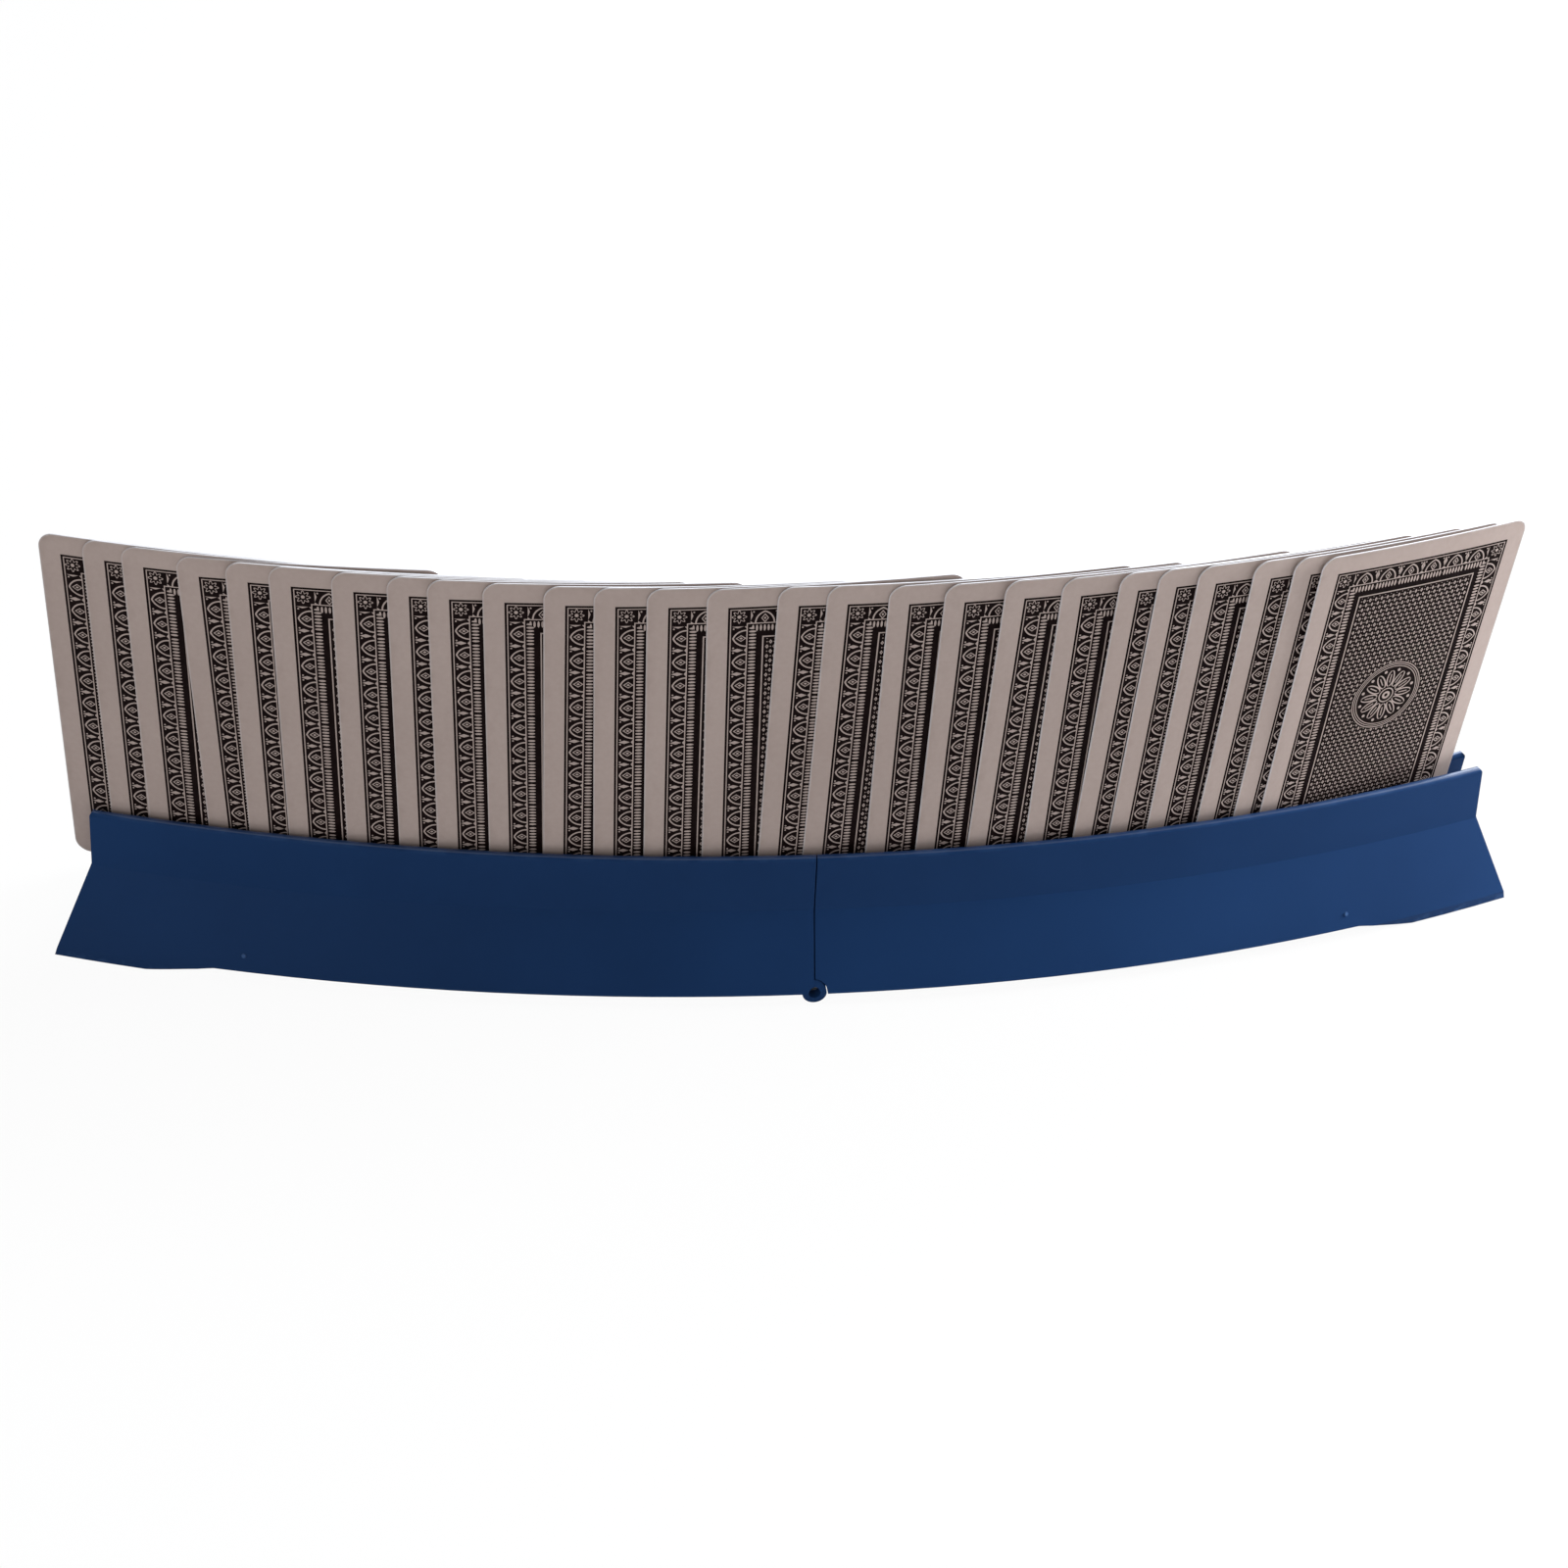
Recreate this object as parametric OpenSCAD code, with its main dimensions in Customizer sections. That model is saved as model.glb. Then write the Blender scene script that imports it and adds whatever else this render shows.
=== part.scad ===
// Curved table-top holder for a hand of playing cards, in two halves that fold on one hinge.
// Millimetres. X runs along the holder, -Y is the outer side of the curve, Z is up and 0 is the table.

/* [Curve] */
// radius of the slot's centre line
arc_r = 569.5; // [450:0.5:800]
// angle from the hinge to the left half's end
left_span = 16.85; // [16.7:0.05:19]
// angle from the hinge to the right half's end
right_span = 17.5; // [16.7:0.05:19]

/* [Channel] */
// width of the slot between the walls
slot_w = 4.7; // [4.2:0.1:7]
// thickness of each wall at its rim
wall_t = 2.3; // [1.6:0.1:3]
// height of the rims above the table
rim_z = 34.2; // [30:0.1:42]
// height of the slot's floor above the table
floor_z = 18.2; // [14:0.1:22]
// thickness of the slot's floor
floor_t = 2.2; // [1.5:0.1:4]

/* [Skirt] */
// height of the waist where the wall turns out into the skirt
waist_z = 20.5; // [19:0.1:24]
// how far the waist stands out beyond the rim
waist_out = 2.3; // [0.5:0.1:3.5]
// how far the skirt's bottom edge stands out beyond the rim
base_out = 12.4; // [9:0.1:20]
// thickness of the skirt, measured level
skirt_t = 2.5; // [1.8:0.1:4]
// how far each outer end leans out at the table
end_flare = 7.2; // [2:0.1:9]
// thickness of the outer end's wall
end_t = 2.4; // [1.8:0.1:4]
// how far a foot stands out beyond the skirt's edge
foot_out = 0.4; // [0:0.1:2]
// distance along the skirt from the hinge to the middle of a foot's ramp
foot_at = 149.8; // [100:0.5:156]
// length of a foot's ramp
ramp_l = 17.6; // [10:0.5:24]
// radius of the upper corner of each outer end
end_round = 1.2; // [0.4:0.1:2]

/* [Hinge] */
// radius of the knuckles
knuckle_r = 2.9; // [2.5:0.1:3.5]
// clearance between the knuckles and the table
knuckle_up = 0; // [0:0.1:1]
// number of knuckles on the pin, an odd number
knuckles = 5; // [3:2:7]
// diameter of the pin, which is also the left half's bore
pin_d = 2.9; // [2:0.1:3.4]
// radial clearance of the pin in the right half
pin_clear = 0.08; // [0.04:0.01:0.1]
// depth of the pin's ends inside the bore
pin_recess = 3; // [1:0.1:5]
// clearance beside each knuckle
side_gap = 0.3; // [0.2:0.05:0.6]
// clearance round each knuckle
round_gap = 0.25; // [0.2:0.05:0.6]
// gap between the halves at the seam
seam_gap = 0.3; // [0.2:0.05:0.6]
// thickness of the wall behind the seam
seam_wall = 5.4; // [4.6:0.1:8]

/* [Cards] */
// width of a card
card_w = 57; // [56:0.5:58.5]
// height of a card
card_h = 88; // [86:0.5:90]
// thickness of a card
card_t = 0.28; // [0.24:0.01:0.3]
// radius of a card's corners
card_corner = 3.5; // [2.5:0.1:5]
// turn of each card across the slot, so that each stands in front of the one to its left
card_yaw = 2.9; // [2.8:0.05:3.4]

/* [Hidden] */
$fn = 256;
half_w = slot_w / 2 + wall_t;
waist_u = half_w + waist_out;
base_u = half_w + base_out;
foot_u = base_u + foot_out;
hinge_z = knuckle_r + knuckle_up;
drop = hinge_z;
pin_r = pin_d / 2;
rim_u = slot_w / 2 + wall_t / 2;
ceil_z = floor_z - floor_t;
slope = (base_u - waist_u) / (waist_z - drop);
bend_z = drop - 0.6;
bend_u = base_u + 0.6 * slope;
knuckle_w = (2 * base_u - (knuckles - 1) * side_gap) / knuckles;
foot_angle = foot_at / (arc_r + base_u) * 180 / PI;
ramp_h = drop + 0.15;
ramp_steps = 12;
gate_z = 6.2;
gate_angles = [13.1, 13.45];
round_steps = 6;

// where each card stands: angle from the hinge, lean in its own plane, and tip forward on its foot
stations = [-14.48, -13.5, -12.61, -11.29, -10.28, -9.35, -8, -6.8, -5.92, -4.74, -3.47, -2.35, -1.2,
    0.13, 1.54, 2.6, 4.04, 5.26, 6.55, 7.93, 9.19, 10.11, 11.07, 12.39, 13.37, 14.06];
leans = [1.5, 1.5, 1, -0.7, 0.2, 0.2, 0.1, -0.1, -0.4, -0.4, 0, -0.7, -0.9,
    -1.4, 0.4, 0.6, -0.4, -0.1, 0.6, -0.2, 0.6, 0.6, 0.5, 0.6, 0.6, 0.2];
tips = [0.09, 0.13, 0.06, -0.15, 0.07, -0.01, -0.16, -0.26, -0.17, -0.18, -0.11, -0.26, -0.35,
    -0.56, -0.7, -0.77, -0.92, -0.84, -0.5, -0.71, -0.41, -0.43, -0.35, 0.03, 0.39, 0.92];

// the overall box, so that the origin is under its centre
function end_x(u, s) = (arc_r + u) * sin(s) + end_flare * cos(s);
function end_y(u, s) = arc_r - (arc_r + u) * cos(s) + end_flare * sin(s);
x_mid = (end_x(foot_u, right_span) - end_x(foot_u, left_span)) / 2;
y_mid = (max(end_y(-foot_u, right_span), end_y(-foot_u, left_span)) - base_u) / 2;

module place() {
    translate([-x_mid, -y_mid, 0]) children();
}

// carries something drawn at the hinge along the curve
module along(a) {
    translate([0, arc_r, 0]) rotate([0, 0, a]) translate([0, -arc_r, 0]) children();
}

// sweeps a section, drawn as distance out from the slot's centre line and height
module sweep(a, b) {
    translate([0, arc_r, 0]) rotate([0, 0, 270 + a]) rotate_extrude(angle = b - a)
        translate([arc_r, 0]) children();
}

// extrudes a drawing of the long side, distance along and height, straight across the holder
module across(w) {
    rotate([90, 0, 0]) linear_extrude(w, center = true) children();
}

module rim() {
    translate([rim_u, rim_z - wall_t / 2]) intersection() {
        circle(d = wall_t);
        translate([-wall_t, 0]) square([2 * wall_t, wall_t]);
    }
}

module side_section() {
    polygon([[0, 0], [foot_u, 0], [bend_u, bend_z], [waist_u, waist_z], [half_w, rim_z - wall_t / 2],
        [slot_w / 2, rim_z - wall_t / 2], [slot_w / 2, floor_z], [0, floor_z]]);
    rim();
}

module outer_section() {
    side_section();
    mirror([1, 0]) side_section();
}

module hollow_section() {
    inner = bend_u - skirt_t;
    top = inner - slope * (ceil_z - bend_z);
    polygon([[-inner, -1], [inner, -1], [inner, bend_z], [top, ceil_z], [-top, ceil_z], [-inner, bend_z]]);
}

// everything beyond a half's outer end, set in by some distance, with the end's upper corner round
module beyond_end(span, inset) {
    turn_z = waist_z + 0.5;
    round_z = rim_z - end_round + 0.05;
    along(span) across(90) polygon(concat([[-inset - end_round, rim_z + 5]],
        [for (i = [0 : round_steps]) let (a = 90 - 90 * i / round_steps)
            [-inset - end_round * (1 - cos(a)), round_z + end_round * sin(a)]],
        [[-inset, turn_z], [end_flare * (1 + 1 / turn_z) - inset, -1], [80, -1], [80, rim_z + 5]]));
}

// height of the edge along a foot's ramp, nearly straight, from 0 at its inner end to 1 at the foot
function ramp_z(f) = drop - ramp_h * (0.75 * f + 0.25 * (1 - cos(180 * f)) / 2);

// the space under the skirt's edge between the hinge and a foot, with its ramp
module under_edge() {
    along(foot_angle) across(160) polygon(concat([[-foot_at - 12, -5], [-foot_at - 12, drop]],
        [for (i = [0 : ramp_steps]) [ramp_l * (i / ramp_steps - 0.5), ramp_z(i / ramp_steps)]],
        [[ramp_l / 2, -5]]));
}

module shell(span, gate) {
    difference() {
        sweep(-0.5, span + 1.5) outer_section();
        beyond_end(span, 0);
        under_edge();
        difference() {
            sweep(seam_wall / arc_r * 180 / PI, span + 1.5) hollow_section();
            beyond_end(span, end_t);
        }
        translate([-20 + seam_gap / 2, 0, 20]) cube([40, 90, 60], center = true);
    }
    along(gate) translate([0, -base_u + slope * (gate_z - drop), gate_z])
        rotate([90 - atan(slope), 0, 0]) cylinder(d = 1, h = 0.5, center = true);
}

// turned a little on the axis, so that no seam line of a cylinder lies in a flat face
module on_axis() {
    translate([0, 0, hinge_z]) rotate([90, 0, 0]) rotate([0, 0, 40]) children();
}

function knuckle_y(k) = -base_u + k * (knuckle_w + side_gap);

module knuckle(k) {
    face_z = hinge_z + 0.4;
    face_u = base_u - 0.15 - 0.4 * slope;
    intersection() {
        translate([0, knuckle_y(k) + knuckle_w / 2, 0]) on_axis() cylinder(r = knuckle_r, h = knuckle_w, center = true);
        sweep(-1, 1) polygon([[-face_u, -1], [-face_u, face_z], [-waist_u + 0.15, waist_z],
            [waist_u - 0.15, waist_z], [face_u, face_z], [face_u, -1]]);
    }
}

// the recess for the other half's knuckle, cut a little wider than the gap beside it
module clear_of_knuckle(k) {
    lo = knuckle_y(k) - (k == 0 ? 4 : side_gap + 0.15);
    hi = knuckle_y(k) + knuckle_w + (k == knuckles - 1 ? 4 : side_gap + 0.15);
    translate([0, (lo + hi) / 2, 0]) on_axis() cylinder(r = knuckle_r + round_gap, h = hi - lo, center = true);
}

// a half drawn on the right of the hinge, with every second knuckle from the first or the next
module half(span, gate, first, bore_r) {
    difference() {
        union() {
            difference() {
                shell(span, gate);
                for (k = [1 - first : 2 : knuckles - 1]) clear_of_knuckle(k);
            }
            for (k = [first : 2 : knuckles - 1]) knuckle(k);
        }
        on_axis() cylinder(r = bore_r, h = 2 * base_u + 4, center = true);
    }
}

module left_half() {
    color([0.10, 0.19, 0.36]) place() mirror([1, 0, 0]) half(left_span, gate_angles[0], 0, pin_r);
}

module right_half() {
    color([0.12, 0.22, 0.40]) place() half(right_span, gate_angles[1], 1, pin_r + pin_clear);
}

module hinge_pin() {
    color([0.55, 0.56, 0.58]) place()
        on_axis() cylinder(r = pin_r, h = 2 * (base_u - pin_recess), center = true);
}

module card_outline() {
    w = card_w / 2;
    h = card_h / 2;
    square([card_w, card_h - 2 * card_corner], center = true);
    square([card_w - 2 * card_corner, card_h], center = true);
    for (x = [-1, 1], z = [-1, 1]) translate([x * (w - card_corner), z * (h - card_corner)]) circle(card_corner);
}

// how far a tipped card's middle stands above the floor, because its bent lower edge isn't straight
function seat(k) = abs(sin(tips[k])) * (card_w * card_w / 8 / arc_r + card_t);

// a card bent to the slot's curve, standing on the floor on its lower corner
module card(k) {
    lean = leans[k];
    mid = (card_h / 2 - card_corner) * cos(lean) + (card_w / 2 - card_corner) * abs(sin(lean)) + card_corner;
    color([0.74, 0.69, 0.66]) place() along(stations[k]) rotate([0, 0, card_yaw])
        translate([0, 0, floor_z + seat(k)]) rotate([tips[k], 0, 0]) intersection() {
            sweep(-4, 4) translate([-card_t / 2, -1]) square([card_t, card_h + 6]);
            translate([0, 0, mid]) across(12) rotate(-lean) card_outline();
        }
}

module card_01() { card(0); }
module card_02() { card(1); }
module card_03() { card(2); }
module card_04() { card(3); }
module card_05() { card(4); }
module card_06() { card(5); }
module card_07() { card(6); }
module card_08() { card(7); }
module card_09() { card(8); }
module card_10() { card(9); }
module card_11() { card(10); }
module card_12() { card(11); }
module card_13() { card(12); }
module card_14() { card(13); }
module card_15() { card(14); }
module card_16() { card(15); }
module card_17() { card(16); }
module card_18() { card(17); }
module card_19() { card(18); }
module card_20() { card(19); }
module card_21() { card(20); }
module card_22() { card(21); }
module card_23() { card(22); }
module card_24() { card(23); }
module card_25() { card(24); }
module card_26() { card(25); }

left_half();
right_half();
hinge_pin();
card_01();
card_02();
card_03();
card_04();
card_05();
card_06();
card_07();
card_08();
card_09();
card_10();
card_11();
card_12();
card_13();
card_14();
card_15();
card_16();
card_17();
card_18();
card_19();
card_20();
card_21();
card_22();
card_23();
card_24();
card_25();
card_26();
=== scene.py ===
import math
from functools import reduce

import bpy
import numpy as np
from mathutils import Matrix, Vector


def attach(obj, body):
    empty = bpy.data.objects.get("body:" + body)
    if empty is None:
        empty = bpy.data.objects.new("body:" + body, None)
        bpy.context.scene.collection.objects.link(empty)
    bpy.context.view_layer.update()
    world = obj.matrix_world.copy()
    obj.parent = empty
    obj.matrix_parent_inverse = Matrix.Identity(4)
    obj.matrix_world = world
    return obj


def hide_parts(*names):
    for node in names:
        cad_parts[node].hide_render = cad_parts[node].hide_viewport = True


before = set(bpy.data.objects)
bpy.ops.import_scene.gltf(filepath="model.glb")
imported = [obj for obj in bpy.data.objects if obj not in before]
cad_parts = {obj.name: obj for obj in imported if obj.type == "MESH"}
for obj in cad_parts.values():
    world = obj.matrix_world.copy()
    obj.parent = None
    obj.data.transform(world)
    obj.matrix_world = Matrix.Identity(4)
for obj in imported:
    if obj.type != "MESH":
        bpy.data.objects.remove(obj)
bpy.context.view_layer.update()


# ------------------------------------------------------------------ the camera
# The photograph was taken from just left of the middle, about 0.57 m away and 38 degrees
# down on the holder, with the camera leaning a little. The view was fitted to the
# holder's own edges, the seam and the cards' corners.

camera_at = (-0.08464, -0.42937, 0.38049)
turn, down, roll = (math.radians(a) for a in (9.977, 37.842, 4.607))
ahead = Vector((math.sin(turn) * math.cos(down), math.cos(turn) * math.cos(down), -math.sin(down)))
level = Vector((math.cos(turn), -math.sin(turn), 0))
above = level.cross(ahead)
aside = level * math.cos(roll) + above * math.sin(roll)
upright = above * math.cos(roll) - level * math.sin(roll)

camera = bpy.data.objects.new("camera", bpy.data.cameras.new("camera"))
camera.data.lens, camera.data.sensor_width = 53.77, 36
camera.data.clip_start, camera.data.clip_end = 0.02, 20
camera.matrix_world = Matrix.Translation(camera_at) @ Matrix(
    (aside, upright, -ahead)).transposed().to_4x4()
bpy.context.scene.collection.objects.link(camera)
bpy.context.scene.camera = camera


# ------------------------------------------------------------------ the two halves
# Each half is one injection moulding in dark blue plastic with a fine satin grain from the
# mould's spark-eroded steel. It has paler scuffs where it is handled and set down, faint
# flow clouds, rims polished by the cards, and a small mark from the mould's gate.

class Wire:
    """One output of a shader tree. Operators with numbers or other wires add Math nodes."""

    def __init__(self, tree, socket=None):
        self.tree, self.socket = tree, socket

    def node(self, kind, settings=None, inputs=None, out=0):
        """Adds a node of that type, sets its settings, then its sockets' values or links."""
        made = self.tree.nodes.new(kind)
        for name, value in (settings or {}).items():
            setattr(made, name, value)
        for name, value in (inputs or {}).items():
            if isinstance(value, Wire):
                self.tree.links.new(value.socket, made.inputs[name])
            else:
                made.inputs[name].default_value = value
        return None if out is None else Wire(self.tree, made.outputs[out])

    def math(self, operation, *values, clamp=False):
        return self.node("ShaderNodeMath", {"operation": operation, "use_clamp": clamp},
                         dict(enumerate(values)))

    def __add__(self, other): return self.math("ADD", self, other)
    def __radd__(self, other): return self.math("ADD", other, self)
    def __sub__(self, other): return self.math("SUBTRACT", self, other)
    def __rsub__(self, other): return self.math("SUBTRACT", other, self)
    def __mul__(self, other): return self.math("MULTIPLY", self, other)
    def __rmul__(self, other): return self.math("MULTIPLY", other, self)
    def __truediv__(self, other): return self.math("DIVIDE", self, other)
    def __abs__(self): return self.math("ABSOLUTE", self)


def least(a, b): return a.math("MINIMUM", a, b)
def most(a, b): return a.math("MAXIMUM", a, b)


def rise(value, low, high):
    """0 below low and 1 above high, with a straight ramp between them; low may be the higher."""
    slope = 1 / (high - low)
    return value.math("MULTIPLY_ADD", value, slope, -low * slope, clamp=True)


def blend(share, first, second):
    """The colour first where share is 0, and second where it is 1."""
    return share.node("ShaderNodeMix", {"data_type": "RGBA"}, {0: share, 6: first, 7: second},
                      out=2)


def rgb(*shade):
    """A colour as a screen shows it, 0 to 255, as linear light."""
    c = np.array(shade) / 255
    return (*np.where(c < 0.04045, c / 12.92, ((c + 0.055) / 1.055) ** 2.4).tolist(), 1.0)


def finish_named(name):
    """A new material, with the wire that its nodes start from and each point's place in metres."""
    material = bpy.data.materials.new(name)
    material.use_nodes = True
    material.node_tree.nodes.clear()
    start = Wire(material.node_tree)
    return material, start, start.node("ShaderNodeTexCoord", out="Object")


def noise(place, scale, detail=2.0, stretch=None):
    """Cloudy noise of about 0 to 1, with that many features a metre, or more along an axis."""
    if stretch:
        place = place.node("ShaderNodeMapping", None, {"Vector": place, "Scale": stretch})
    return place.node("ShaderNodeTexNoise", {"noise_dimensions": "3D"},
                      {"Vector": place, "Scale": scale, "Detail": detail}, out="Fac")


def close(start, shader):
    """Makes that shader the material's own."""
    start.node("ShaderNodeOutputMaterial", None, {"Surface": shader}, out=None)


def surface(start, relief, depth, strength, sockets):
    """Closes a material with a principled surface, under relief of that depth in metres."""
    bump = start.node("ShaderNodeBump", None,
                      {"Strength": strength, "Distance": depth, "Height": relief})
    close(start, start.node("ShaderNodeBsdfPrincipled", None, {**sockets, "Normal": bump}))


rim_height, scuff_height = 0.0342, 0.0022
gate_marks = (-0.13568, -0.01400, 0.0062), (0.13282, -0.01318, 0.0062)
gate_radius, gate_fade = 0.0004, 0.0007
deep_blue, clear_blue, worn_blue = rgb(18, 46, 85), rgb(22, 52, 94), rgb(80, 112, 160)


def moulded_blue():
    """Satin moulded plastic: clouded colour, fine grain, scuffed low and high edges."""
    material, start, place = finish_named("moulded_blue_plastic")
    height = start.node("ShaderNodeSeparateXYZ", None, {0: place}, out="Z")
    cloud = noise(place, 16, 3)
    grain = noise(place, 2600, 2)
    rubbed = rise(noise(place, 150, 4, stretch=(1, 1, 5)), 0.60, 0.78)
    low = rise(height, scuff_height, 0.0002) * rise(noise(place, 420, 4), 0.50, 0.72)
    high = rise(height, rim_height - 0.0010, rim_height - 0.0001)
    high = high * rise(noise(place, 160, 3), 0.42, 0.62)
    polished = rise(height, rim_height - 0.0003, rim_height - 0.0001)
    gates = [place.node("ShaderNodeVectorMath", {"operation": "DISTANCE"},
                        {0: place, 1: mark}, out="Value") for mark in gate_marks]
    blush = rise(least(*gates), gate_fade, gate_radius)
    colour = blend(rise(cloud, 0.3, 0.7), deep_blue, clear_blue)
    colour = blend(most(most(low * 0.4, high * 0.12), blush * 0.5), colour, worn_blue)
    surface(start, grain, 0.00003, 0.35, {
        "Base Color": colour, "Roughness": 0.50 + 0.10 * cloud + 0.2 * low - 0.08 * rubbed,
        "Specular IOR Level": 0.06, "Coat Weight": polished, "Coat Roughness": 0.3})
    return material


plastic = moulded_blue()
for half in ("left_half", "right_half"):
    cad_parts[half].material_slots[0].material = plastic


# ------------------------------------------------------------------ the hinge pin
# A plain 2.9 mm steel pin, drawn and cut to length, pressed into the left half's knuckles.
# It has fine lines along it from drawing, and patches of dull tarnish.

bright_steel, dull_steel = rgb(176, 178, 180), rgb(120, 112, 104)


def drawn_steel():
    """Bare drawn steel: lines along the pin, which lies along Y, in its relief and its shine."""
    material, start, place = finish_named("drawn_steel")
    lines = noise(place, 300, 3, stretch=(8, 0.6, 8))
    tarnish = rise(noise(place, 240, 3), 0.45, 0.7)
    surface(start, lines, 0.00001, 0.3, {
        "Base Color": blend(tarnish * 0.5, bright_steel, dull_steel), "Metallic": 1.0,
        "Roughness": 0.26 + 0.2 * lines + 0.15 * tarnish})
    return material


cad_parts["hinge_pin"].material_slots[0].material = drawn_steel()


# ------------------------------------------------------------------ the playing cards
# 26 bridge cards, die-cut from lacquered pasteboard and printed on both sides. Each stands
# in the slot's curve and bends with it. A card is its own sheet here, because the print has
# to follow it: its map holds the back on the left and the face on the right, in true scale.

# in millimetres: a card, the slot's arc and floor, and the holder's middle from the arc's foot
card_w, card_h, card_t, card_corner = 57.0, 88.0, 0.28, 3.5
arc_r, floor_z = 569.5, 18.2
middle = (3.168826, 14.057820)

# in degrees: how far a card is turned across the slot, and each card's place along the arc,
# its lean to one side and its tip backwards or forwards, from the far left
card_yaw = 2.9
stations = [-14.48, -13.5, -12.61, -11.29, -10.28, -9.35, -8, -6.8, -5.92, -4.74, -3.47, -2.35,
            -1.2, 0.13, 1.54, 2.6, 4.04, 5.26, 6.55, 7.93, 9.19, 10.11, 11.07, 12.39, 13.37, 14.06]
leans = [1.5, 1.5, 1, -0.7, 0.2, 0.2, 0.1, -0.1, -0.4, -0.4, 0, -0.7, -0.9,
         -1.4, 0.4, 0.6, -0.4, -0.1, 0.6, -0.2, 0.6, 0.6, 0.5, 0.6, 0.6, 0.2]
tips = [0.09, 0.13, 0.06, -0.15, 0.07, -0.01, -0.16, -0.26, -0.17, -0.18, -0.11, -0.26, -0.35,
        -0.56, -0.7, -0.77, -0.92, -0.84, -0.5, -0.71, -0.41, -0.43, -0.35, 0.03, 0.39, 0.92]

# the hand: number cards of spades, hearts, clubs and diamonds, the last suit on the far left
held = ((2, 3, 5, 6, 8, 9, 10), (2, 4, 5, 7, 8, 10), (3, 4, 6, 7, 9, 10), (2, 3, 5, 6, 7, 8, 9))
hand = [(number, suit) for suit, numbers in enumerate(held) for number in numbers][::-1]

# the millimetres that the print's map spans, and the number and suit that the hand's map spans
map_w, map_h = 120.0, 92.0
number_span, suit_span = 16, 4
back_at, face_at = 0.25, 0.75


def stood_in_slot(k, u, v, out):
    """Card k's point u across, v up and out behind its middle sheet, in metres in the row frame.
    The flat card leans in its plane, is bent to the slot's radius about an upright line, tipped
    on its foot, turned by card_yaw about its middle, and carried round the slot's centre to its
    station. A tipped card stands on the ends of its bent lower edge."""
    a, lean, tip, yaw = (math.radians(x) for x in (stations[k], leans[k], tips[k], card_yaw))
    mid = ((card_h / 2 - card_corner) * math.cos(lean)
           + (card_w / 2 - card_corner) * abs(math.sin(lean)) + card_corner)
    seat = abs(math.sin(tip)) * (card_w ** 2 / 8 / arc_r + card_t)
    x = u * math.cos(lean) + v * math.sin(lean)
    z = v * math.cos(lean) - u * math.sin(lean) + mid
    y = arc_r - np.sqrt((arc_r - out) ** 2 - x * x)
    y, z = y * math.cos(tip) - z * math.sin(tip), z * math.cos(tip) + y * math.sin(tip)
    x, y = x * math.cos(yaw) - y * math.sin(yaw), x * math.sin(yaw) + y * math.cos(yaw) - arc_r
    x, y = x * math.cos(a) - y * math.sin(a), x * math.sin(a) + y * math.cos(a) + arc_r
    return np.stack([x - middle[0], y - middle[1], z + floor_z + seat], -1) / 1000


def card_sheet(k, across=28, corner=7, up=26):
    """Card k as one closed sheet. Rows lie at heights v, closer together in the corners, and a
    row's half width is w(v) = W/2 - r + sqrt(r^2 - max(0, |v| - (H/2 - r))^2): the corners are
    true quarter circles. The grid is laid twice, half the thickness each way, and a strip of
    quads joins the two outlines, which are sharp."""
    r, straight = card_corner, card_h / 2 - card_corner
    bend = r * np.sin(np.linspace(0, math.pi / 2, corner + 1))
    v = np.concatenate([-straight - bend[::-1], np.linspace(-straight, straight, up + 1)[1:-1],
                        straight + bend])
    over = np.clip(np.abs(v) - straight, 0, r)
    w = card_w / 2 - r + np.sqrt(np.maximum(r * r - over * over, 0))
    u = w[:, None] * np.linspace(-1, 1, across + 1)
    v = np.repeat(v[:, None], across + 1, 1)
    back, face = (stood_in_slot(k, u, v, side * card_t / 2).reshape(-1, 3) for side in (-1, 1))

    i = np.arange(u.size).reshape(u.shape)
    quads = np.stack([i[:-1, :-1], i[:-1, 1:], i[1:, 1:], i[1:, :-1]], -1).reshape(-1, 4)
    ring = np.concatenate([i[0], i[1:, -1], i[-1, -2::-1], i[-2:0:-1, 0]])
    after = np.roll(ring, -1)
    strip = np.stack([ring, ring + u.size, after + u.size, after], -1)
    faces = np.concatenate([quads, quads[:, ::-1] + u.size, strip])
    is_face, is_edge = (np.repeat(flags, (len(quads), len(quads), len(strip)))
                        for flags in ((False, True, False), (False, False, True)))

    mesh = bpy.data.meshes.new(f"printed_card_{k + 1:02d}")
    mesh.from_pydata(np.concatenate([back, face]).tolist(), [], faces.tolist())
    mesh.polygons.foreach_set("use_smooth", np.ones(len(faces), bool))
    mesh.polygons.foreach_set("material_index", is_edge.astype(np.int32))

    at = faces.ravel() % u.size
    print_map = np.stack([u.ravel()[at] / map_w + np.where(np.repeat(is_face, 4), face_at, back_at),
                          v.ravel()[at] / map_h + 0.5], -1)
    hand_map = np.tile((hand[k][0] / number_span, hand[k][1] / suit_span), len(at))
    for name, place in (("print", print_map), ("hand", hand_map)):
        mesh.uv_layers.new(name=name).data.foreach_set("uv", place.astype(np.float32).ravel())

    ends = np.zeros(len(mesh.edges) * 2, np.int32)
    mesh.edges.foreach_get("vertices", ends)
    ends = ends.reshape(-1, 2) % u.size
    outline = np.isin(ends, ring).all(1) & (ends[:, 0] != ends[:, 1])
    mesh.attributes.new("sharp_edge", "BOOLEAN", "EDGE").data.foreach_set("value", outline)
    return mesh


def on_map(start, name):
    """A point's two places on that map."""
    point = start.node("ShaderNodeUVMap", {"uv_map": name})
    return [start.node("ShaderNodeSeparateXYZ", None, {0: point}, out=axis) for axis in "XY"]


def soft(distance, edge=0.04):
    """Ink-sharp: 1 where the distance is below 0, 0 above it."""
    return rise(distance, edge / 2, -edge / 2)


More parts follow.
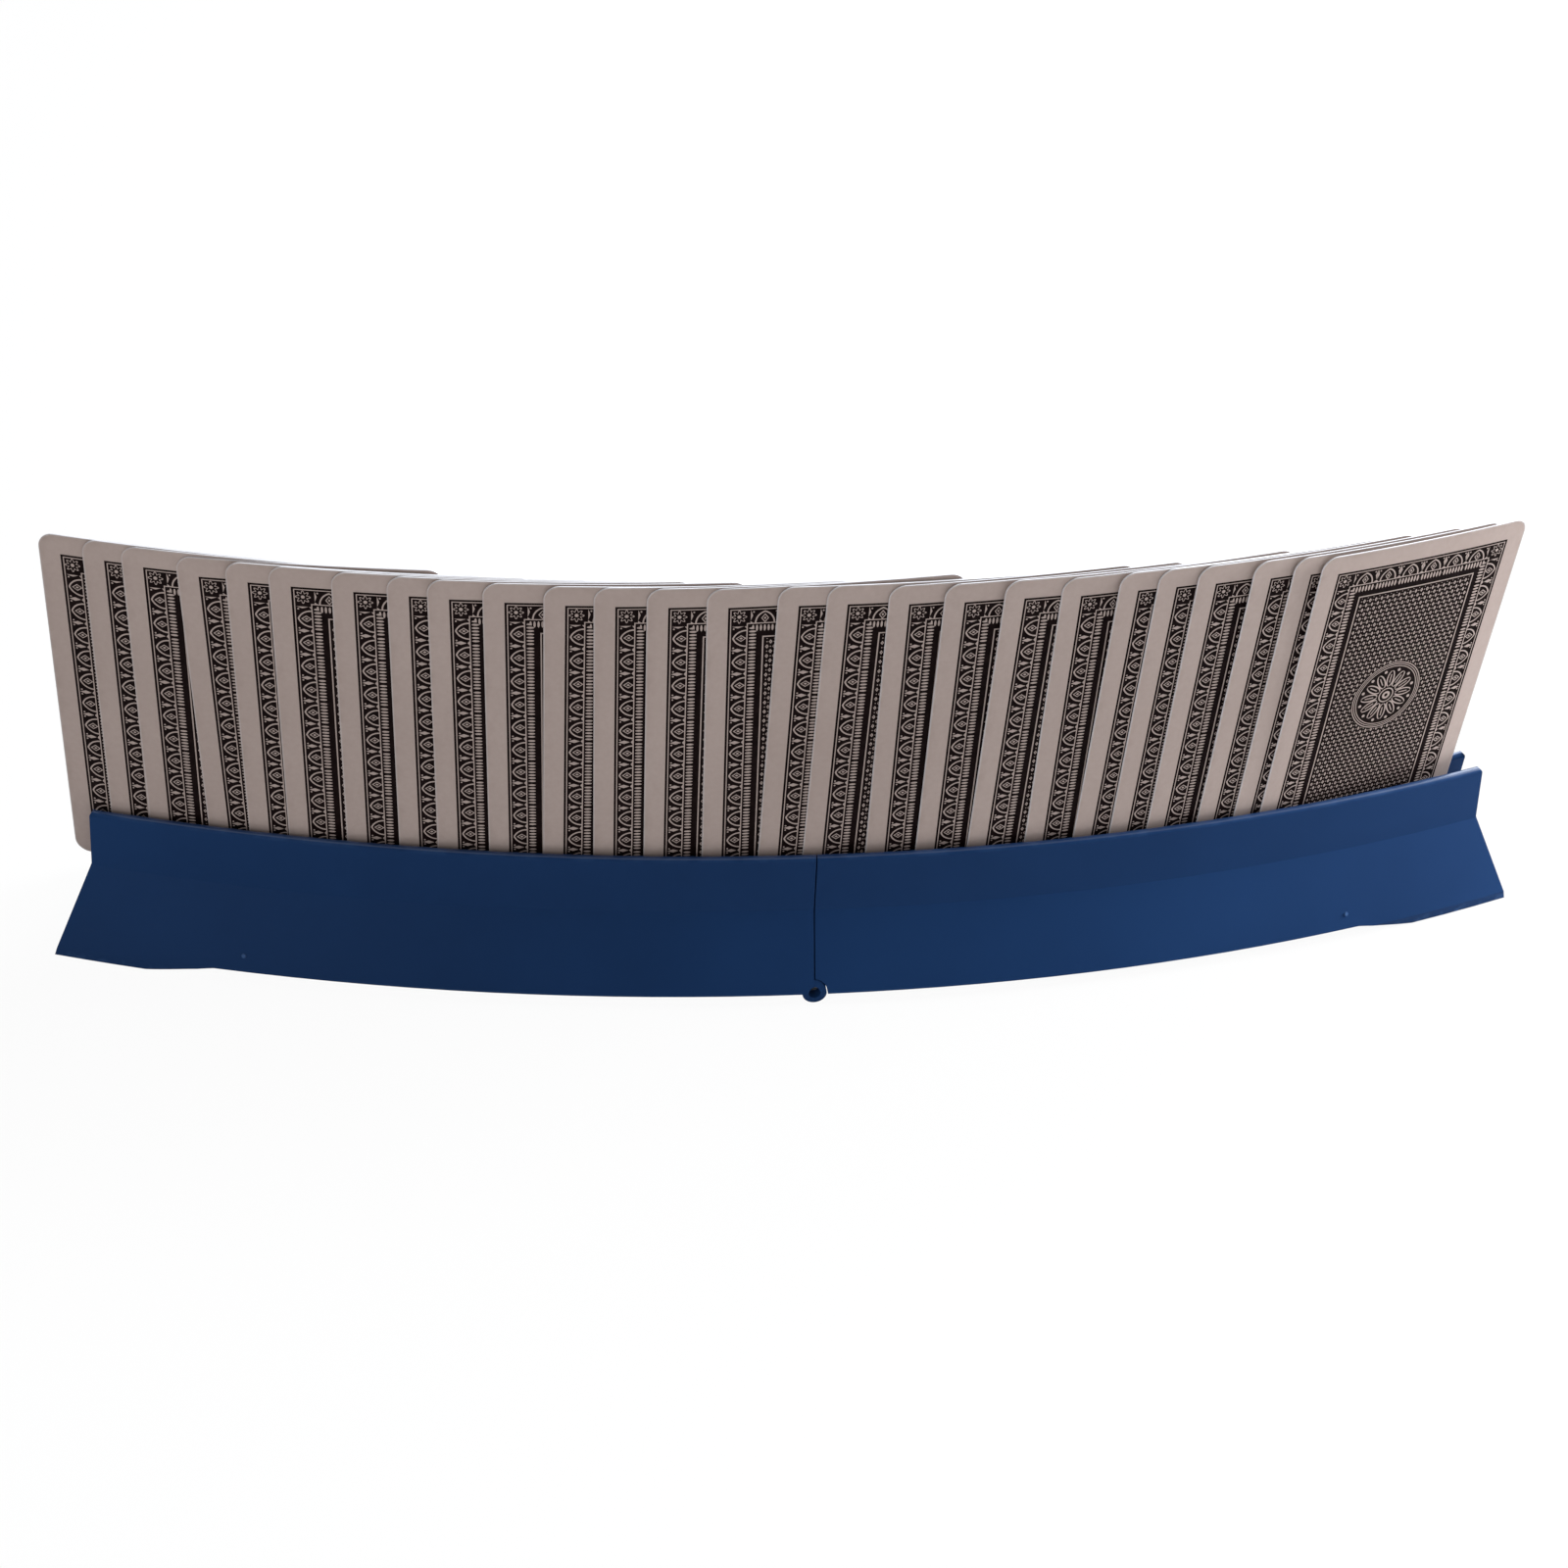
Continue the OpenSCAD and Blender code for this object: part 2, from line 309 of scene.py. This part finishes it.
def far(a, b):
    """How far the point a, b lies from the middle."""
    return a.math("SQRT", a * a + b * b)


def pick(flag, off, on):
    """The value off where flag is 0, and on where it is 1."""
    return flag * (on - off) + off


def among(value, *numbers):
    """1 where value is one of those whole numbers, else 0."""
    return sum(rise(abs(value - n), 0.6, 0.4) for n in numbers)


def past(value, edge):
    """1 where value is beyond that edge in millimetres, else 0."""
    return rise(value, edge, edge + 0.02)


# millimetres that put a stroke out of sight
away = 9.0


def pip(x, y, suit):
    """The distance outside a suit's mark of half height 1. Suits: 0 spade, 1 heart, 2 club,
    3 diamond. A heart is two circles over a wedge, and a spade is one upside down on a stem.
    A club is three circles and a small one that fills their middle, on the same stem."""
    ax = abs(x)
    spade, heart, club = (among(suit, n) for n in range(3))
    turned = pick(heart, 0.14 - y, y)
    lobes = far(ax - 0.44, turned - 0.34) - 0.46
    wedge = most(ax * 0.79 - (turned + 0.96) * 0.61, turned - 0.34)
    stem = most(ax - 0.07 + (y + 0.2) * 0.3, most(-0.96 - y, y + 0.1))
    clover = reduce(least, (far(x, y - 0.5) - 0.42, far(ax - 0.48, y + 0.14) - 0.42,
                            far(x, y - 0.1) - 0.24))
    rounded = pick(club, least(lobes, wedge), clover)
    standing = least(rounded, stem + heart * away)
    lozenge = (ax * 1.35 + abs(y) - 0.96) * 0.6
    return pick(least(spade + heart + club, 1.0), lozenge, standing)


def numeral(x, y, number):
    """The distance from the strokes of a figure 5 mm high: seven short bars, of which each
    number uses some, with a leading 1 for the ten. Bars: the level ones from the top, then
    upper left, upper right, lower left and lower right."""
    half_bar = 1.25
    is_ten = among(number, 10)
    x = x - is_ten * 1.1
    bars = [far(most(abs(x) - half_bar, 0.0), y - row) for row in (2.5, 0.0, -2.5)]
    bars += [far(x - side, most(abs(y - row) - half_bar, 0.0))
             for row in (half_bar, -half_bar) for side in (-half_bar, half_bar)]
    unused_by = (4,), (7, 10), (4, 7), (2, 3, 7), (5, 6), (3, 4, 5, 7, 9), (2,)
    strokes = [bar + among(number, *numbers) * away for bar, numbers in zip(bars, unused_by)]
    leading = far(x + 2.9, most(abs(y) - 2.5, 0.0)) + (1 - is_ten) * away
    return reduce(least, strokes + [leading])


# a face's marks, in millimetres from the card's middle: the side columns, the rows, where
# a middle mark stands between two rows, and the corner's figure and small mark
column, top_row, next_row, between_next, between_middle = 9.5, 26.0, 8.7, 17.3, 13.0
corner_column, figure_row, corner_row = 24.2, 36.3, 29.6
mark_size, corner_size = 4.3, 1.7
mark_black, mark_red = rgb(20, 16, 18), rgb(168, 30, 34)


def number_face(start, x, y):
    """Ink and colour of a number card's face: a figure and a small mark in two corners, and the
    marks in their usual rows. x and y are in millimetres from the middle, as its holder sees it.
    The lower half is the upper one turned half round."""
    number, suit = on_map(start, "hand")
    number, suit = number * number_span, suit * suit_span
    way = rise(y, -0.0005, 0.0005) * 2 - 1
    gx, gy = x * way, abs(y)
    is_side = past(abs(gx), column / 2)
    is_high = past(gy, (top_row + next_row) / 2)
    over_8, over_5, over_3 = (rise(number, n + 0.4, n + 0.6) for n in (8, 5, 3))
    is_10, is_8, is_7 = (among(number, n) for n in (10, 8, 7))
    has_middle = among(number, 3, 5, 9)

    side_y = pick(is_high, pick(over_8, y, gy - next_row), gy - top_row)
    side_on = pick(is_high, over_5, over_3)
    low_y = pick(has_middle, gy - pick(is_10, between_middle, between_next), y)
    low_on = reduce(most, (has_middle, is_10, is_8, is_7 * rise(y, 0.0, 0.01)))
    is_top = (1 - over_3) * is_high
    row_y = pick(is_side, pick(is_top, low_y, gy - top_row), side_y)
    row_x = pick(is_side, gx, abs(gx) - column)
    in_rows = pick(is_side, most(is_top, low_on), side_on) * (1 - past(abs(gx), 15.0))

    is_corner = past(-1 * gx, 19.5) * past(gy, 20.0)
    size = pick(is_corner, mark_size, corner_size)
    mark_x = pick(is_corner, row_x, gx + corner_column) / size
    mark_y = pick(is_corner, row_y, gy - corner_row) / size
    marks = soft(pip(mark_x, mark_y, suit) * size) * pick(is_corner, in_rows, 1.0)
    figure = soft(numeral(gx + corner_column, gy - figure_row, number) - 0.33) * is_corner
    return most(marks, figure), blend(among(suit, 1, 3), mark_black, mark_red)


# a back's print, in millimetres: the plain margins, then, in from the dark frame's edge, the
# rules, the arches' band, the beads' band and the field, and the medallion's rings and petals
margin_x, margin_y = 4.6, 4.8
rules = (0.5, 0.72), (4.1, 4.34), (7.6, 7.9)
arch_band, bead_band, field_edge = (0.8, 4.1), (4.55, 6.35), 8.3
arches_across, arches_up, corner_square = 6, 11, 4.9
bead_pitch, cell_w, cell_h = 0.85, 1.6, 2.5
medallion_r, ring_bands = 9.85, ((9.35, 9.58), (8.85, 9.02), (8.3, 8.5), (1.8, 2.1), (0.5, 1.1))
petals, petal_middle, petal_half, gem_reach = 12, 4.9, 2.3, 7.3
stock_tones, fibre_tone = (rgb(169, 153, 147), rgb(175, 159, 153)), rgb(154, 138, 131)
# the pale tone at the outline is partly bare board worn at the cut and partly painted light from
# above
handled_tone, bare_rim_and_painted_light = rgb(140, 124, 114), rgb(200, 198, 202)
ink_tones = rgb(13, 5, 5), rgb(24, 14, 14)


def lacquered_card():
    """The card's two printed sides. On the back, a plain margin runs round a dark frame of
    pointed arches, a bead row, and a field of lozenges and dots with a ringed daisy in the
    middle. Distances are in millimetres, and every shape is a distance turned into ink."""
    material, start, place = finish_named("lacquered_card")
    across, along = on_map(start, "print")
    on_face = rise(across, 0.499, 0.501)
    x = (across - back_at - on_face * (face_at - back_at)) * map_w
    y = (along - 0.5) * map_h
    ax, ay = abs(x), abs(y)

    frame_x, frame_y = card_w / 2 - margin_x, card_h / 2 - margin_y
    in_x, in_y = frame_x - ax, frame_y - ay
    depth = least(in_x, in_y)
    level_side = rise(in_x - in_y, -0.01, 0.01)

    def band(low, high, value=depth):
        return soft(abs(value - (low + high) / 2) - (high - low) / 2)

    def repeat(value, pitch, shift=0.0):
        """The distance along a row from the middle of its nearest repeat."""
        return (value.math("FRACT", value / pitch + (0.5 + shift)) - 0.5) * pitch

    # the arches round the border are pairs of arcs, struck from a little past their middles.
    # Each holds an outlined lozenge, and a split spear with two seeds stands between them.
    pitch_x = 2 * (frame_x - corner_square) / arches_across
    pitch_y = 2 * (frame_y - corner_square) / arches_up
    side = repeat(x, pitch_x, 0.5) * level_side + repeat(y, pitch_y) * (1 - level_side)
    stand = arch_band[1] - depth
    off = pitch_x / 2 - abs(side)
    arch = soft(abs(far(abs(side) + 1.0, stand) - 3.05) - 0.17)
    jewel = abs(side) * 1.15 + abs(stand - 1.15) * 0.85
    jewel = most(soft(abs(jewel - 0.85) - 0.14), soft(jewel - 0.32))
    spear = soft(abs(off) / 0.52 + abs(stand - 1.9) / 1.45 - 1.0, 0.08)
    spear = spear * (1 - soft(abs(off) - 0.05))
    seeds = soft(far(off - 0.68, stand - 2.8) - 0.2)
    foot = soft(abs(off) + stand * 1.3 - 0.62)
    in_row = soft(corner_square - most(in_x, in_y))
    row = reduce(most, (arch, jewel, spear, seeds, foot)) * in_row

    # an eight-lobed flower fills each corner of the border
    cx, cy = ax - (frame_x - corner_square / 2), ay - (frame_y - corner_square / 2)
    swing = start.math("ARCTAN2", cy, cx)
    flower = far(cx, cy)
    flower = most(soft(abs(flower - 1.25 - 0.32 * start.math("COSINE", swing * 8)) - 0.13),
                  soft(flower - 0.42))
    border = most(row, flower * (1 - in_row)) * band(*arch_band)

    # the bead row inside it, and the plain rules
    bead = far(repeat(side, bead_pitch) * 3.2, depth - sum(bead_band) / 2) - 0.8
    bead = soft(bead) * band(*bead_band)
    lines = reduce(most, [band(*rule) for rule in rules] + [bead])

    # the field: rows of small eyed lozenges, with a dot in each space
    px, py = abs(repeat(x, cell_w)), abs(repeat(y, cell_h))
    qx, qy = abs(repeat(x, cell_w, 0.5)), abs(repeat(y, cell_h, 0.5))
    lozenge = least(px / 0.41 + py / 0.60, qx / 0.41 + qy / 0.60)
    eye = least(far(px, py), far(qx, qy))
    dots = least(far(qx, py), far(px, qy))
    field = most(soft(lozenge - 0.95, 0.08) * (1 - soft(eye - 0.12)), soft(dots - 0.14))
    field = field * soft(field_edge - depth)

    # the medallion: rings, an open daisy of almond petals with a vein in each, and a ring of
    # dots outside the spaces between them
    reach = far(x, y)
    slice_angle = 2 * math.pi / petals
    slices = start.math("ARCTAN2", y, x) / slice_angle
    petal_off, gem_off = (abs(repeat(slices, 1.0, shift)) * slice_angle * reach
                          for shift in (0.0, 0.5))
    from_middle = abs(reach - petal_middle)
    almond = from_middle / petal_half
    petal = abs(petal_off - 0.92 * start.math("SQRT", most(1 - almond * almond, 0.0))) - 0.17
    petal = soft(petal) * soft(from_middle - petal_half)
    vein = soft(petal_off - 0.13) * soft(from_middle - 1.2)
    gem = soft(far(gem_off, reach - gem_reach) - 0.42)
    medallion = reduce(most, [petal, vein, gem] + [band(*ring, reach) for ring in ring_bands])
    centre = pick(soft(reach - medallion_r), field, medallion)

    pale = reduce(most, (border, lines, centre))
    ink = soft(0 - depth) * (1 - pale) * (1 - on_face)
    face_ink, face_colour = number_face(start, -1 * x, y)

    # pasteboard with a little fibre, the lacquer's fine dimples, handling and painted light round
    # the rim
    past_x, past_y = ax - (card_w / 2 - card_corner), ay - (card_h / 2 - card_corner)
    rim = card_corner - far(most(past_x, 0.0), most(past_y, 0.0))
    rim = rim - least(most(past_x, past_y), 0.0)
    handled = rise(rim, 2.2, 0.0) * rise(noise(place, 260, 4), 0.42, 0.75)
    fibre = noise(place, 900, 3)
    tone = noise(place, 22, 2)
    stock = blend(rise(tone, 0.3, 0.7), *stock_tones)
    stock = blend(rise(fibre, 0.35, 0.8) * 0.25, stock, fibre_tone)
    stock = blend(handled * 0.35, stock, handled_tone)
    # a pale band along the outline: partly bare board worn at the cut, partly painted light
    # standing in for light from above on the cards' tops
    stock = blend(rise(rim, 0.35, 0.1) * 0.35, stock, bare_rim_and_painted_light)
    dark = blend(rise(noise(place, 500, 3), 0.35, 0.7), *ink_tones)
    dimples = noise(place, 2200, 1) - 0.3 * ink
    surface(start, dimples, 0.00002, 0.25, {
        "Base Color": blend(face_ink * on_face, blend(ink, stock, dark), face_colour),
        "Roughness": 0.55 + 0.12 * tone - 0.06 * ink + 0.15 * handled,
        "Specular IOR Level": 0.03})
    return material


clean_edge, soiled_edge = rgb(212, 212, 217), rgb(186, 185, 188)


def cut_edge():
    """The die-cut edge: bare layered board, a little grey and furred."""
    material, start, place = finish_named("cut_board")
    layers = noise(place, 1500, 3)
    soil = rise(noise(place, 180, 3), 0.4, 0.7)
    surface(start, layers, 0.00004, 0.5, {
        "Base Color": blend(soil * 0.4, clean_edge, soiled_edge),
        "Roughness": 0.75 + 0.15 * layers, "Specular IOR Level": 0.2})
    return material


sides, edge = lacquered_card(), cut_edge()
for k in range(26):
    card = bpy.data.objects.new(f"printed_card_{k + 1:02d}", card_sheet(k))
    card.data.materials.append(sides)
    card.data.materials.append(edge)
    bpy.context.scene.collection.objects.link(card)
    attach(card, "left" if k < 13 else "right")
    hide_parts(f"card_{k + 1:02d}")


# ------------------------------------------------------------------ floor and light
# A plain white table top, under a broad softbox behind and above, one far round on the right
# and a weak one in front on the left. The camera sees the white of the studio through most of
# the table, which keeps a faint shadow and doesn't hide the half that folds down below it.

see_through, room_light = 0.95, 0.39
table_half, table_grey = 6, (0.70, 0.70, 0.70, 1)
white = (1, 1, 1, 1)


def ray_is(start, kind):
    """1 for a ray of that kind, else 0."""
    return start.node("ShaderNodeLightPath", out=f"Is {kind} Ray")


def seen_directly(start):
    """1 for what the camera, a reflection or clear stuff shows, 0 for what only gives light."""
    return reduce(most, [ray_is(start, kind) for kind in ("Camera", "Glossy", "Transmission")])


def clear_white():
    """White board to the light, and nearly clear to what looks at it and to the lamps' rays."""
    material, start, _ = finish_named("white_table")
    paper = start.node("ShaderNodeBsdfDiffuse", None, {"Color": table_grey})
    clear = start.node("ShaderNodeBsdfTransparent", None, {"Color": white})
    share = most(seen_directly(start) * see_through, ray_is(start, "Shadow"))
    close(start, start.node("ShaderNodeMixShader", None, {0: share, 1: paper, 2: clear}))
    return material


floor_mesh = bpy.data.meshes.new("table_top")
floor_mesh.from_pydata([(x * table_half, y * table_half, 0) for x, y in (
    (-1, -1), (1, -1), (1, 1), (-1, 1))], [], [(0, 1, 2, 3)])
table_top = bpy.data.objects.new("table_top", floor_mesh)
floor_mesh.materials.append(clear_white())
bpy.context.scene.collection.objects.link(table_top)

world = bpy.data.worlds.new("studio")
bpy.context.scene.world = world
world.use_nodes = True
world.node_tree.nodes.clear()
air = Wire(world.node_tree)
strength = room_light + (1 - room_light) * seen_directly(air)
backdrop = air.node("ShaderNodeBackground", None, {"Color": white, "Strength": strength})
air.node("ShaderNodeOutputWorld", None, {"Surface": backdrop}, out=None)


def softbox(name, place, aim, size, power, colour):
    """A square lamp of that size, at place, turned so that its face looks at aim."""
    light = bpy.data.lights.new(name, "AREA")
    light.shape, light.size, light.energy, light.color = "SQUARE", size, power, colour
    lamp = bpy.data.objects.new(name, light)
    lamp.matrix_world = Matrix.Translation(place) @ (
        Vector(aim) - Vector(place)).to_track_quat("-Z", "Y").to_matrix().to_4x4()
    bpy.context.scene.collection.objects.link(lamp)


softbox("behind_above", place=(0.60, 0.82, 0.80), aim=(0.05, 0, 0.04),
        size=0.8, power=15, colour=(0.91, 0.96, 1.0))
softbox("right_side", place=(1.03, 0.18, 0.46), aim=(0.12, 0, 0.03),
        size=0.4, power=31, colour=(0.95, 0.985, 1.0))
softbox("left_front", place=(-0.75, -0.75, 0.45), aim=(0, 0, 0.04),
        size=0.6, power=2.5, colour=(1.0, 0.985, 0.97))

bpy.context.scene.view_settings.view_transform = "Standard"
